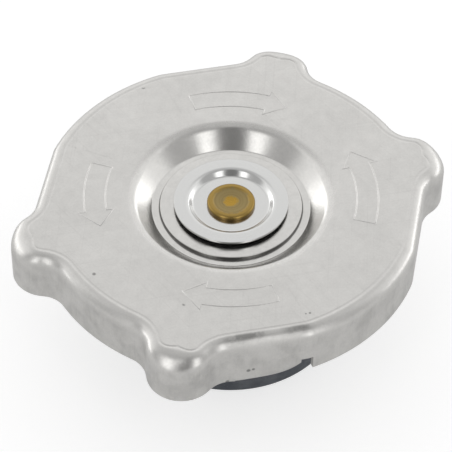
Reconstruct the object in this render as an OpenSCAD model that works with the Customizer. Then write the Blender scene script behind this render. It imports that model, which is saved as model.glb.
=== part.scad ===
// Lobed twist-lock radiator pressure cap with pressure and vacuum valves.
// Millimetres, +Z up, origin on the axis at the underside of the lower seal.

/* [Shell] */
// Width across two opposite finger lobes
lobe_span = 82; // [79:0.5:86]
// Radius of the round part of the skirt
body_r = 35.2; // [34.8:0.1:35.8]
// Radius of one finger lobe
lobe_r = 6.2; // [5.8:0.1:6.8]
// Angle of a finger lobe from the short side
lobe_angle = 29.5; // [28:0.5:31]
// Hollow radius where a lobe runs into the skirt
fillet_r = 5; // [4.4:0.2:6]
// How far the flats lie inside the round of the skirt
flat_in = 0.6; // [0.45:0.05:0.8]
// Direction of a flat from the short side
flat_angle = 56; // [55:0.5:57]
// Corner radius between a flat and the round of the skirt
blend_r = 8; // [6:0.5:11]
// Radius of the rounded top edge
edge_r = 2.1; // [1.8:0.1:2.6]
// Extra rounding of the top edge at a lobe tip
lobe_edge = 1.6; // [0.8:0.1:2]
// Depth of the skirt below the top face
skirt_h = 10; // [9.4:0.2:11]
// Thickness of the pressed sheet
sheet_t = 0.9; // [0.7:0.05:1]
// Height of the whole cap
cap_h = 30.5; // [29.5:0.25:33]

/* [Well] */
// Radius at which the top face starts to drop into the well
well_r = 19.1; // [18.6:0.05:20]
// Radius of the gentle brim of the well
brim_r = 6.1; // [5.6:0.1:6.4]
// Radius of the flat raised middle
boss_r = 12.85; // [12.4:0.05:13.2]
// Depth of the raised middle below the top face
boss_drop = 2.65; // [2.5:0.05:2.8]
// Radius of the rounded edge of the raised middle
boss_edge_r = 1.2; // [1.15:0.05:1.3]
// Depth of the groove round the raised middle
groove_deep = 1.25; // [1:0.05:1.25]

/* [Locking lugs] */
// Inward length of a locking lug
lug_len = 5.2; // [4:0.2:5.6]
// Ramp of a locking lug in degrees
lug_ramp = 8; // [5:1:10]
// Outside bend radius of a locking lug
lug_bend = 1.4; // [1.2:0.1:1.8]
// Width of the relief notch beside a lug
notch_w = 1.7; // [1.2:0.1:2]
// Height of the relief notch above the skirt edge
notch_h = 2.9; // [2.4:0.1:3.4]

/* [Top fixing] */
// Radius of the dished top washer
washer_r = 10.45; // [10:0.05:11]
// Thickness of the dished top washer
washer_t = 0.45; // [0.4:0.05:0.5]
// Depth of the dish below the washer flange
dish_deep = 1.02; // [0.9:0.02:1.14]
// Depth of the dish floor below the top face
dish_drop = 2.5; // [2.45:0.05:2.6]
// Radius of the dish floor
dish_r = 6.7; // [6.4:0.1:7]
// Radius of the rivet head
rivet_r = 4.4; // [4:0.1:4.8]
// Height of the rivet head
rivet_h = 1; // [0.8:0.05:1.2]
// Radius of the rivet shank
shank_r = 2.6; // [2.2:0.1:3]

/* [Spring disc] */
// Outside radius of the spring disc
disc_r = 28.3; // [27.5:0.1:28.6]
// Thickness of the spring disc
disc_t = 0.5; // [0.4:0.05:0.6]
// Rise of the spring disc from its middle to its rim
disc_rise = 1.2; // [0.9:0.1:1.4]
// Play between the shell and the spring disc
turn_gap = 0.2; // [0.15:0.05:0.3]
// Width of the rubber rim gasket
rim_gasket_w = 4.4; // [3.6:0.1:4.6]

/* [Bell] */
// Thickness of the bell housing
bell_t = 0.8; // [0.7:0.05:0.9]
// Width of a window in the bell housing
window_w = 11; // [8:0.5:13]
// Height of a window in the bell housing
window_h = 6.5; // [5:0.5:8]
// Inward width of the rolled lip that holds the valve
lip_w = 1.6; // [1.4:0.1:1.8]
// Play between the rolled lip and the wall of the valve cup
lip_gap = 0.8; // [0.6:0.05:1]

/* [Pressure valve] */
// Outside radius of the lower seal
seal_r = 21.4; // [20.8:0.1:22]
// Thickness of the lower seal under its plate
seal_t = 2.5; // [2.2:0.1:3]
// Thickness of the seal lip above its plate
seal_lip = 0.9; // [0.7:0.1:1.2]
// Thickness of the seal plate
plate_t = 0.9; // [0.7:0.1:1.2]
// Radius of the seal plate
plate_r = 18.5; // [18:0.1:19]
// Thickness of the valve cup
cup_t = 0.8; // [0.7:0.05:0.9]
// Outside radius of the valve cup wall
cup_r = 15.8; // [15.2:0.1:16.6]
// Lift of the pressure valve
lift = 4; // [3:0.25:4.5]
// Wire thickness of the pressure spring
coil_d = 2; // [1.7:0.1:2.2]
// Play between the pressure spring and the wall of the valve cup
coil_gap = 0.8; // [0.6:0.05:1.2]

/* [Vacuum valve] */
// Radius of the vacuum valve disc
vac_r = 10.4; // [10:0.1:10.8]
// Thickness of the vacuum valve disc
vac_t = 0.8; // [0.6:0.05:0.9]
// Radius of the vacuum valve stem
stem_r = 2; // [1.8:0.05:2.2]
// Opening travel of the vacuum valve
vac_open = 2; // [1.5:0.1:2.2]
// Wire thickness of the vacuum spring
vac_wire = 0.6; // [0.5:0.02:0.64]
// Height of the vacuum spring when the valve is fully open
vac_pack = 2.8; // [2.6:0.1:4]

/* [Hidden] */
$fn = 96;
top = cap_h;
skirt_z = top - skirt_h;
// Plan of the shell, one quarter: lobe, two hollow fillets, flat and corner
lobe_c = lobe_span / 2 - lobe_r;
lobe = polar(lobe_c, lobe_angle);
flat_r = body_r - flat_in;
round_f = body_r + fillet_r;
lobe_f = lobe_r + fillet_r;
fil1_a = lobe_angle - acos((sq(lobe_c) + sq(round_f) - sq(lobe_f)) / (2 * lobe_c * round_f));
fil1 = polar(round_f, fil1_a);
lobe_n = lobe_c * cos(flat_angle - lobe_angle);
lobe_t = -lobe_c * sin(flat_angle - lobe_angle);
fil2_t = lobe_t + sqrt(sq(lobe_f) - sq(flat_r + fillet_r - lobe_n));
fil2 = turned([flat_r + fillet_r, fil2_t], flat_angle);
corner_t = sqrt(sq(body_r - blend_r) - sq(flat_r - blend_r));
corner = turned([flat_r - blend_r, corner_t], flat_angle);
corner_a = flat_angle + atan2(corner_t, flat_r - blend_r);
to_lobe1 = heading(fil1, lobe);
to_lobe2 = heading(fil2, lobe);
lobe_a0 = heading(lobe, fil1);
lobe_a1 = heading(lobe, fil2);
// Well of the shell
groove_drop = boss_drop + groove_deep;
boss_z = top - boss_drop;
groove_z = top - groove_drop;
// Radii at both sides of the groove and at the shoulder of the wall, seam with the top, least floor
groove_in_r = 0.1;
groove_out_r = 0.1;
shoulder_in_r = 0.15;
seam = 0.7;
floor_least = 0.05;
shoulder_r = sheet_t + shoulder_in_r;
boss_bend = acos(1 - groove_deep / (boss_edge_r + groove_in_r));
wall_bend = 88;
brim_bend = 47;
brim_fall = brim_r * (1 - cos(brim_bend));
shoulder_fall = shoulder_r * (cos(brim_bend) - cos(wall_bend));
wall_rise = groove_drop - brim_fall - shoulder_fall - groove_out_r * (1 - cos(wall_bend));
wall_len = wall_rise / sin(wall_bend);
shoulder_run = shoulder_r * (sin(wall_bend) - sin(brim_bend));
foot_run = groove_out_r * sin(wall_bend) + wall_len * cos(wall_bend);
wall_run = brim_r * sin(brim_bend) + shoulder_run + foot_run;
groove_r0 = boss_r + (boss_edge_r + groove_in_r) * sin(boss_bend);
groove_floor = max(floor_least, well_r - wall_run - groove_r0);
brim_out = groove_r0 + groove_floor + wall_run;
// Lugs: distance from the lobe hollow and from the corner, drop of the low end, joint with the wall
lug_in = 1;
lug_back = 0.5;
lug_low = 0.5;
lug_sink = 0.04;
lug_tongue = 0.8;
lug_t0 = fil2_t + lug_in;
lug_end = corner_t - lug_back;
lug_run = (lug_end - lug_t0) / cos(lug_ramp);
lug_z0 = skirt_z - lug_low + lug_bend;
// Bends of the thin pressed pieces
washer_bend = 0.5;
disc_bend = 2;
neck_bend = 0.6;
crown_r = 1;
lip_bend = 0.6;
cup_bend = 0.6;
flange_bend = 0.5;
seal_round = 0.7;
// Clearances and small steps
neck_step = 0.3;
hole_step = 1.35;
disc_gap = 1.1;
stop_gap = 0.5;
rim_step = 0.3;
flange_gap = 0.05;
stem_gap = 0.3;
cup_gap = 0.8;
seat_w = 1.8;
seat_gap = 0.6;
plate_step = 0.9;
vac_gap = 0.05;
wire_gap = 0.6;
bleed_gap = 0.7;
// Rivet tail, rivet dimple, bleed holes and the ends of the vacuum valve
tail_h = 1.2;
tail_w = 1.7;
tail_edge = 0.5;
dimple_r = 1.1;
dimple_in = 0.5;
dimple_d = 0.25;
bleed_r = 1.5;
vac_dent = 0.3;
vac_dent_r = 2.4;
vac_edge = 0.2;
keeper_t = 0.7;
keeper_w = 0.6;
pin_step = 0.5;
pin_head = 0.6;
// Stack on the axis, from the top down
dish_z = top - dish_drop;
stack_z = dish_z - washer_t;
disc_z = groove_z - sheet_t - turn_gap - disc_t;
bell_in = cup_r + lip_gap + lip_w;
bell_top_in = disc_z - bell_t;
neck_r = dish_r - neck_step;
hole_r = dish_r + hole_step;
disc_hole = neck_r + bell_t + disc_gap;
// Stack from the seal up
plate_z = seal_t;
cup_z = plate_z + plate_t;
cup_floor = cup_z + cup_t;
seal_top = cup_z + seal_lip;
lip_z = seal_top + lift + stop_gap + bell_t;
flange_r = bell_in - lip_bend - flange_gap;
coil_r = cup_r - cup_t - coil_gap - coil_d / 2;
spring_h = bell_top_in - cup_floor;
window_z = (lip_z + bell_top_in) / 2;
vac_z = seal_t / 2 + vac_gap;
seal_in = vac_r - seat_w;
seal_recess = vac_r + seat_gap;
vac_coil_r = stem_r + wire_gap + vac_wire;
vac_spring_h = vac_pack + vac_open;
keeper_z = cup_floor + vac_spring_h;
keeper_r = vac_coil_r + vac_wire / 2 + keeper_w;
pin_r = stem_r - pin_step;

function sq(x) = x * x;
function polar(r, a) = [r * cos(a), r * sin(a)];
function turned(p, a) = [p[0] * cos(a) - p[1] * sin(a), p[0] * sin(a) + p[1] * cos(a)];
function heading(p, q) = atan2(q[1] - p[1], q[0] - p[0]);
function span(a, b) = (b - a + 720) % 360;

// Points of a circle arc
function arc(c, r, a0, a1, n) = [for (k = [0 : n]) c + polar(r, a0 + (a1 - a0) * k / n)];

// Stations [point, heading] along a walk of straights and bends.
// A move is [length] or [angle, inner radius]; the sheet lies on the left of the walk.
function walk(moves, t, p, h = 0, i = 0) = i == len(moves) ? [[p, h]] :
    let (m = moves[i], left = len(m) == 2 && m[0] > 0, r = len(m) == 1 ? 0 : left ? m[1] + t : m[1])
    len(m) == 1 ? concat([[p, h]], walk(moves, t, p + polar(m[0], h), h, i + 1)) :
    let (side = left ? 90 : -90, c = p + polar(r, h + side), n = ceil(abs(m[0]) / 10))
    concat([for (k = [0 : n - 1]) let (a = m[0] * k / n) [c - polar(r, h + side + a), h + a]],
        walk(moves, t, c - polar(r, h + side + m[0]), h + m[0], i + 1));

// Section of bent sheet along a walk
module sheet(moves, t, p) {
    way = walk(moves, t, p);
    n = len(way);
    polygon(concat([for (w = way) w[0]], [for (i = [n - 1 : -1 : 0]) way[i][0] + polar(t, way[i][1] + 90)]));
}

// Cutter that rounds the outer corner of a section, at its top or its foot
module corner_cut(p, r, up) {
    translate([p[0] - r, up ? p[1] - r : p[1] + r]) difference() {
        translate([0, up ? 0 : -2 * r]) square(2 * r);
        circle(r);
    }
}

// Quarter outline of the shell: [point, outward angle, share of the larger lobe rounding]
function quarter() = concat(
    [for (k = [0 : 2]) let (a = fil1_a * k / 3) [polar(body_r, a), a, 0]],
    [for (k = [0 : 4]) let (a = fil1_a + 180 - span(to_lobe1, fil1_a + 180) * k / 5)
        [fil1 + polar(fillet_r, a), a + 180, 0]],
    [for (k = [0 : 12]) let (a = lobe_a0 + span(lobe_a0, lobe_a1) * k / 12)
        [lobe + polar(lobe_r, a), a, sq(sin(15 * k))]],
    [for (k = [1 : 4]) let (a = to_lobe2 - span(flat_angle + 180, to_lobe2) * k / 4)
        [fil2 + polar(fillet_r, a), a + 180, 0]],
    [for (k = [0 : 2]) let (a = flat_angle + (corner_a - flat_angle) * k / 2)
        [corner + polar(blend_r, a), a, 0]],
    [for (k = [1 : 4]) let (a = corner_a + (90 - corner_a) * k / 4) [polar(body_r, a), a, 0]]);
function mirrored(q) = [for (i = [len(q) - 2 : -1 : 1]) [[-q[i][0][0], q[i][0][1]], 180 - q[i][1], q[i][2]]];
function opposite(q) = [for (w = q) [-w[0], w[1] + 180, w[2]]];
function half(q) = concat(q, mirrored(q));
function outline() = let (h = half(quarter()), far = [-quarter()[0][0], 180, 0])
    concat(h, [far], [for (i = [1 : len(h) - 1]) opposite(h)[i]]);

// Points of the rim at one station, from the outer foot over the edge and back to the inner foot
function rim_column(w) = let (e = edge_r + lobe_edge * w[2], n = 6, t = sheet_t, in = brim_out + seam,
        hub = polar(in, atan2(w[0][1], w[0][0])))
    concat([at(w, 0, skirt_z)],
        [for (k = [0 : n]) let (a = 90 * k / n) at(w, e * (1 - cos(a)), top - e * (1 - sin(a)))],
        [[hub[0], hub[1], top], [hub[0], hub[1], top - t]],
        [for (k = [n : -1 : 0]) let (a = 90 * k / n) at(w, e - (e - t) * cos(a), top - e + (e - t) * sin(a))],
        [at(w, t, skirt_z)]);
function at(w, d, z) = let (p = w[0] - polar(d, w[1])) [p[0], p[1], z];

// Lobed rim and flat top, closed round the well
module rim() {
    way = outline();
    n = len(way);
    cols = [for (w = way) rim_column(w)];
    m = len(cols[0]);
    faces = [for (j = [0 : n - 1]) for (i = [0 : m - 1])
        let (a = j * m, b = (j + 1) % n * m, k = (i + 1) % m)
            each [[a + i, a + k, b + k], [a + i, b + k, b + i]]];
    polyhedron([for (c = cols) each c], faces, convexity = 10);
}

// Frame of a locking lug: x across the flat, y along the fold, z up the wall
module at_lug() {
    rotate([0, 0, flat_angle]) translate([flat_r, lug_t0, lug_z0]) rotate([lug_ramp, 0, 0]) children();
}

module lug() {
    r = lug_bend - lug_sink;
    t = sheet_t - 2 * lug_sink;
    at_lug() translate([0, lug_run, 0]) rotate([90, 0, 0]) linear_extrude(lug_run) mirror([1, 0])
        polygon(concat([[lug_sink + t, lug_tongue], [lug_sink, lug_tongue]],
            arc([lug_bend, 0], r, 180, 270, 6),
            [[lug_len, -r], [lug_len, t - r]],
            arc([lug_bend, 0], r - t, 270, 180, 6)));
}

module lug_cut() {
    wide = 4 * sheet_t;
    at_lug() translate([-wide / 2, 0, -skirt_h]) cube([wide, lug_run, skirt_h]);
    rotate([0, 0, flat_angle]) translate([flat_r - wide / 2, lug_end, skirt_z - notch_h])
        cube([wide, notch_w, 2 * notch_h]);
}

// One bent sheet: lobed rim, flat top, well and two locking lugs
module shell() {
    color([0.76, 0.75, 0.73]) {
        difference() {
            union() {
                rim();
                rotate_extrude() sheet([
                    [boss_r - hole_r],
                    [-boss_bend, boss_edge_r - sheet_t],
                    [boss_bend, groove_in_r],
                    [groove_floor],
                    [wall_bend, groove_out_r],
                    [wall_len],
                    [brim_bend - wall_bend, shoulder_in_r],
                    [-brim_bend, brim_r - sheet_t],
                    [2 * seam]], sheet_t, [hole_r, boss_z - sheet_t]);
            }
            for (a = [0, 180]) rotate([0, 0, a]) lug_cut();
        }
        for (a = [0, 180]) rotate([0, 0, a]) lug();
    }
}

// Dished washer that holds the shell on the valve stack
module top_washer() {
    dip = 45;
    bends = 2 * washer_bend + washer_t;
    slope = (dish_deep - bends * (1 - cos(dip))) / sin(dip);
    run = bends * sin(dip) + slope * cos(dip);
    color([0.78, 0.78, 0.77]) rotate_extrude() sheet([
        [dish_r - shank_r],
        [dip, washer_bend],
        [slope],
        [-dip, washer_bend],
        [washer_r - dish_r - run]], washer_t, [shank_r, dish_z - washer_t]);
}

// Brass rivet through the washer and the neck of the bell
module rivet() {
    edge = 0.45 * rivet_h;
    head = dish_z + rivet_h;
    foot = stack_z - bell_t;
    tail_r = shank_r + tail_w;
    color([0.62, 0.5, 0.2]) rotate_extrude() polygon([
        [0, foot - tail_h],
        [tail_r - tail_edge, foot - tail_h],
        [tail_r, foot - tail_h + tail_edge],
        [tail_r, foot],
        [shank_r, foot],
        [shank_r, dish_z],
        [rivet_r, dish_z],
        [rivet_r, head - edge],
        [rivet_r - 1.4 * edge, head],
        [dimple_r, head],
        [dimple_r - dimple_in, head - dimple_d],
        [0, head - dimple_d]]);
}

// Spring steel disc between the shell and the bell
module spring_disc() {
    tilt = 14;
    bends = 2 * disc_bend + disc_t;
    slope = (disc_rise - bends * (1 - cos(tilt))) / sin(tilt);
    run = bends * sin(tilt) + slope * cos(tilt);
    rim_w = rim_gasket_w + 2 * rim_step;
    color([0.72, 0.7, 0.64]) rotate_extrude() sheet([
        [disc_r - rim_w - run - disc_hole],
        [tilt, disc_bend],
        [slope],
        [-tilt, disc_bend],
        [rim_w]], disc_t, [disc_hole, disc_z]);
}

// Flat rubber ring that seals on the rim of the filler neck
module rim_gasket() {
    color([0.12, 0.12, 0.13]) rotate_extrude() translate([disc_r - rim_step - rim_gasket_w, disc_z])
        square([rim_gasket_w, disc_rise]);
}

// Drawn bell that hangs from the rivet, holds the spring and stops the valve
module bell_housing() {
    drop = stack_z - disc_z;
    color([0.7, 0.69, 0.66]) difference() {
        rotate_extrude() sheet([
            [neck_r - neck_bend - shank_r],
            [-90, neck_bend],
            [drop - 2 * neck_bend - bell_t],
            [90, neck_bend],
            [bell_in - crown_r - neck_r - neck_bend - bell_t],
            [-90, crown_r],
            [bell_top_in - crown_r - lip_z - lip_bend],
            [-90, lip_bend],
            [lip_w - lip_bend]], bell_t, [shank_r, stack_z - bell_t]);
        for (a = [0 : 90 : 270]) rotate([0, 0, a])
            translate([bell_in - 2 * bell_t, -window_w / 2, window_z - window_h / 2])
                cube([4 * bell_t, window_w, window_h]);
    }
}

// Tube wound on a helix whose first and last turns lie close
module coil(r, d, h, turns, steps, sides) {
    n = turns * steps;
    close = 1.1 * d / steps;
    open = (h - d - 2 * steps * close) / (n - 2 * steps);
    function rise(i) = i < steps ? i * close
        : i > n - steps ? h - d - (n - i) * close
        : steps * close + (i - steps) * open;
    pts = [for (i = [0 : n]) let (a = 360 * i / steps, z = d / 2 + rise(i))
        for (k = [0 : sides - 1]) let (b = 360 * k / sides - 90, q = r + d / 2 * cos(b))
            [q * cos(a), q * sin(a), z + d / 2 * sin(b)]];
    side = [for (i = [0 : n - 1]) for (k = [0 : sides - 1]) let (m = (k + 1) % sides)
        each [[i * sides + k, (i + 1) * sides + k, (i + 1) * sides + m],
            [i * sides + k, (i + 1) * sides + m, i * sides + m]]];
    foot = [for (k = [0 : sides - 1]) k];
    head = [for (k = [sides - 1 : -1 : 0]) n * sides + k];
    polyhedron(pts, concat([foot, head], side), convexity = 10);
}

// Coil spring that holds the pressure valve down
module pressure_spring() {
    color([0.6, 0.6, 0.6]) translate([0, 0, cup_floor])
        coil(coil_r, coil_d, spring_h, 5, 24, 8);
}

// Cup that carries the spring and rests on the lip of the bell
module valve_cup() {
    bleed_at = vac_coil_r + vac_wire / 2 + bleed_gap + bleed_r;
    color([0.68, 0.67, 0.64]) difference() {
        rotate_extrude() sheet([
            [cup_r - cup_bend - cup_t - stem_r - stem_gap],
            [90, cup_bend],
            [lip_z - flange_bend - cup_z - cup_bend - cup_t],
            [-90, flange_bend],
            [flange_r - cup_r - flange_bend]], cup_t, [stem_r + stem_gap, cup_z]);
        for (a = [45 : 90 : 315]) rotate([0, 0, a])
            translate([bleed_at, 0, cup_z - cup_t]) cylinder(r = bleed_r, h = 3 * cup_t);
    }
}

// Flat plate that backs the seal
module seal_plate() {
    color([0.7, 0.69, 0.66]) translate([0, 0, plate_z]) difference() {
        cylinder(r = plate_r, h = plate_t);
        translate([0, 0, -plate_t]) cylinder(r = seal_in - plate_step, h = 3 * plate_t);
    }
}

// Grooved rubber ring stretched over the seal plate
module pressure_seal() {
    color([0.13, 0.14, 0.15]) rotate_extrude() difference() {
        translate([seal_in, 0]) square([seal_r - seal_in, seal_top]);
        translate([0, plate_z]) square([plate_r, plate_t]);
        translate([0, plate_z]) square([cup_r + cup_gap, seal_top]);
        translate([0, -vac_z]) square([seal_recess, 2 * vac_z]);
        corner_cut([seal_r, 0], seal_round, false);
        corner_cut([seal_r, seal_top], seal_round, true);
    }
}

// Brass disc and stem that open under vacuum
module vacuum_valve() {
    foot = vac_z - vac_t;
    end = keeper_z + keeper_t;
    color([0.66, 0.53, 0.24]) rotate_extrude() polygon([
        [0, foot + vac_dent],
        [vac_dent_r, foot + vac_dent],
        [vac_dent_r + vac_dent, foot],
        [vac_r - vac_edge, foot],
        [vac_r, foot + vac_edge],
        [vac_r, vac_z],
        [stem_r, vac_z],
        [stem_r, keeper_z],
        [pin_r, keeper_z],
        [pin_r, end],
        [pin_r + pin_head, end],
        [pin_r + pin_head, end + pin_head / 2],
        [pin_r, end + pin_head],
        [0, end + pin_head]]);
}

// Light spring that holds the vacuum valve shut
module vacuum_spring() {
    color([0.62, 0.62, 0.62]) translate([0, 0, cup_floor])
        coil(vac_coil_r, vac_wire, vac_spring_h, 4, 20, 6);
}

// Small washer held on the stem end
module spring_keeper() {
    color([0.7, 0.7, 0.68]) translate([0, 0, keeper_z]) difference() {
        cylinder(r = keeper_r, h = keeper_t);
        translate([0, 0, -keeper_t]) cylinder(r = pin_r, h = 3 * keeper_t);
    }
}

shell();
top_washer();
rivet();
spring_disc();
rim_gasket();
bell_housing();
pressure_spring();
valve_cup();
seal_plate();
pressure_seal();
vacuum_valve();
vacuum_spring();
spring_keeper();
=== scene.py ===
import math
from collections import namedtuple

import bpy
from bpy.props import FloatProperty, FloatVectorProperty, PointerProperty
from mathutils import Matrix, Vector


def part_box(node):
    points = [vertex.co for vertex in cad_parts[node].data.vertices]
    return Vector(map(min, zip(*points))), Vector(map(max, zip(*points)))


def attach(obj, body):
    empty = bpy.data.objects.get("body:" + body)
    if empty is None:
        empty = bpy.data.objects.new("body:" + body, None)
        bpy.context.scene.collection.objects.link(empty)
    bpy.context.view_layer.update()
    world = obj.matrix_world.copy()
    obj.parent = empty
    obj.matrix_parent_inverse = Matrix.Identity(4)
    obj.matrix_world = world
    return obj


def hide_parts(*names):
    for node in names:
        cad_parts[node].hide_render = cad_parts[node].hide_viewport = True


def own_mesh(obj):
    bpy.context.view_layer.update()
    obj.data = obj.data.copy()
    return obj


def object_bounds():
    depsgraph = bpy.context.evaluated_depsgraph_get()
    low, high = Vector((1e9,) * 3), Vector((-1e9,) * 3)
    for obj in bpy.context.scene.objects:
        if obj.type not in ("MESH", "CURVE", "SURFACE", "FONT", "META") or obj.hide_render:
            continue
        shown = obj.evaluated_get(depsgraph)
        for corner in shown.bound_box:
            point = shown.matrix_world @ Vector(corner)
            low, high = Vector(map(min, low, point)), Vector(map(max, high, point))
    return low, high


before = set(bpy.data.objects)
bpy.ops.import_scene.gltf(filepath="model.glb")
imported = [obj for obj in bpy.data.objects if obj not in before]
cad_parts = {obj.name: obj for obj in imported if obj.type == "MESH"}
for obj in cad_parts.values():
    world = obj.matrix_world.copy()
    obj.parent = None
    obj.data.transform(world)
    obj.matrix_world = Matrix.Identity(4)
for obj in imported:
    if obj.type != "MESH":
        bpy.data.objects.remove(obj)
CAD_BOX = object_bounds()
TOP = CAD_BOX[1].z

bl_info = {
    "name": "Radiator Pressure Cap",
    "version": (1, 0, 0),
    "blender": (4, 5, 0),
    "location": "View3D > Sidebar > Pressure Cap",
    "description": "Pressed radiator cap with its valves, dressed round the packed solids",
    "category": "Add Mesh",
}

MM = 0.001
TAU = 2 * math.pi
QUARTER = math.pi / 2
# Slack for comparing places that should agree
SLIVER = 0.001 * MM
# Distance of a guard row from a bend; wider than any bevel, so the two never cross
GUARD = 0.15 * MM
# A bend of this radius or less gets half as many rows
TIGHT = 0.5 * MM
# Mesh columns round the axis
SMALL_ROUND = 128
ROUND = 160
SEAL_ROUND = 180
BELL_ROUND = 216


# Settings that a user would change

def length(name, about, mm):
    """A size given in millimetres and kept in metres."""
    return FloatProperty(name=name, description=about, default=mm * MM, unit="LENGTH", precision=5)


def angle(name, about, degrees):
    """An angle given in degrees and kept in radians."""
    return FloatProperty(name=name, description=about, default=math.radians(degrees), subtype="ANGLE")


def share(name, about, value, top=1.0):
    """A plain share or level."""
    return FloatProperty(name=name, description=about, default=value, min=0.0, max=top,
                         subtype="FACTOR")


def colour(name, about, *rgb):
    """A linear colour of what it says."""
    return FloatVectorProperty(name=name, description="Colour of " + about, default=rgb, size=3,
                               min=0.0, max=1.0, subtype="COLOR")


class CapShellSizes(bpy.types.PropertyGroup):
    """Sizes of the pressed shell"""
    lobe_span: length("Lobe span", "Width across opposite lobes", 82)
    body_r: length("Skirt radius", "Radius of the round part of the skirt", 35.2)
    lobe_r: length("Lobe radius", "Radius of one finger lobe", 6.2)
    lobe_angle: angle("Lobe angle", "From the short side to a lobe", 29.5)
    fillet_r: length("Hollow radius", "Hollow beside a lobe", 5)
    flat_in: length("Flat depth", "Depth of a flat inside the round", 0.6)
    flat_angle: angle("Flat angle", "From the short side to a flat", 56)
    blend_r: length("Corner radius", "Corner between flat and round", 8)
    edge_r: length("Top edge radius", "Radius of the rounded top edge", 2.1)
    lobe_edge: length("Lobe edge", "Extra edge radius at a lobe tip", 1.6)
    crease_w: length("Crease width", "Width of the crease round the top", 0.5)
    crease_deep: length("Crease depth", "Depth of the crease round the top", 0.085)
    skirt_h: length("Skirt depth", "Skirt below the top face", 10)
    sheet_t: length("Sheet", "Thickness of the pressed sheet", 0.9)
    pitch: length("Column pitch", "Spacing of the mesh columns", 0.8)


class CapWellSizes(bpy.types.PropertyGroup):
    """Sizes of the well pressed into the top face"""
    hole_r: length("Hole radius", "Radius of the middle hole", 8.05)
    boss_r: length("Boss radius", "Radius of the flat raised middle", 12.85)
    boss_drop: length("Boss drop", "Raised middle below the top face", 2.65)
    boss_edge_r: length("Boss edge", "Edge of the raised middle", 0.15)
    side_bend: angle("Side bend", "Steepness of the boss side", 88)
    groove_deep: length("Groove depth", "Groove floor below the boss", 0.65)
    groove_in_r: length("Groove inside", "Bend at the foot of the boss", 0.12)
    groove_out_r: length("Groove outside", "Bend at the foot of the wall", 0.25)
    wall_bend: angle("Wall bend", "Steepness of the well wall", 42.5)
    brim_r: length("Brim radius", "Bend from the wall to the top", 3)
    well_r: length("Well radius", "Where the top face starts to drop", 19.2)


class CapLugSizes(bpy.types.PropertyGroup):
    """Sizes of the two locking lugs and their relief notches"""
    reach: length("Reach", "Inward length of a lug", 5.2)
    rise: length("Rise", "Rise of the ramp to its notch", 2.2)
    bend_r: length("Bend", "Outside bend radius of a lug", 1.5)
    start: length("Start", "Distance from the lobe hollow", 1)
    stop: length("Stop", "Distance from the flat's corner", 0.5)
    low: length("Drop", "Low end below the skirt edge", 1.1)
    curl: length("Curl", "Length of the curl to the full lug", 4)
    notch_w: length("Notch width", "Width of the relief notch", 2.2)
    notch_h: length("Notch height", "Notch above the skirt edge", 2.9)


class CapFixingSizes(bpy.types.PropertyGroup):
    """Sizes of the dished washer and the rivet"""
    washer_t: length("Washer", "Thickness of the dished washer", 0.45)
    washer_bend: length("Washer bend", "Bend radius of the dish", 0.5)
    dish_r: length("Dish radius", "Radius of the dish floor", 6.7)
    dish_deep: length("Dish depth", "Dish below the washer flange", 1.02)
    shank_r: length("Shank radius", "Radius of the rivet shank", 2.6)
    rivet_r: length("Rivet radius", "Radius of the rivet head", 4.4)
    rivet_h: length("Rivet height", "Height of the rivet head", 1)
    bowl_r: length("Bowl radius", "Hollow in the rivet head", 3.45)
    bowl_deep: length("Bowl depth", "Depth of that hollow", 0.26)


class CapValveSizes(bpy.types.PropertyGroup):
    """Sizes of the bell, valves, springs and seals"""
    disc_t: length("Spring disc", "Thickness of the spring disc", 0.5)
    bell_t: length("Bell sheet", "Thickness of the bell housing", 0.8)
    window_w: length("Window width", "Width of a window in the bell", 11)
    window_h: length("Window height", "Height of a window in the bell", 6.5)
    lip_w: length("Lip", "Inward width of the rolled lip", 1.6)
    coil_d: length("Spring wire", "Wire thickness of the pressure spring", 2)
    vac_wire: length("Vacuum spring wire", "Wire thickness of the vacuum spring", 0.6)
    lift: length("Lift", "Lift of the pressure valve", 4)
    vac_open: length("Opening", "Opening travel of the vacuum valve", 2)


class CapMarkSizes(bpy.types.PropertyGroup):
    """Sizes of the pressed arrow outlines on the top face"""
    line_w: length("Line width", "Width of a pressed line", 0.34)
    line_h: length("Line height", "Height of a pressed line", 0.08)
    band_r: length("Band radius", "Middle radius of an arrow", 24.8)
    band_w: length("Band width", "Width of an arrow's shaft", 3.9)
    head_w: length("Head width", "Width of an arrow's head", 6.4)
    head_turn: angle("Head turn", "Turn from its neck to its tip", 8.6)


class CapFinishes(bpy.types.PropertyGroup):
    """Colours of the finishes"""
    plate: colour("Plated sheet", "the plated shell", 0.66, 0.65, 0.63)
    washer: colour("Washer", "the polished washer", 0.7, 0.7, 0.69)
    brass: colour("Brass", "bright brass", 0.44, 0.27, 0.05)
    olive: colour("Olive", "the dull ring on the rivet", 0.32, 0.245, 0.11)
    tarnish: colour("Tarnish", "tarnished brass", 0.16, 0.10, 0.04)
    steel: colour("Steel", "the bell and the valve sheet", 0.6, 0.59, 0.56)
    wire: colour("Wire", "the spring wire", 0.46, 0.46, 0.47)
    rubber: colour("Rubber", "the seals", 0.075, 0.085, 0.1)
    dust: colour("Dust", "dust on the rubber", 0.3, 0.31, 0.33)


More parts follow.
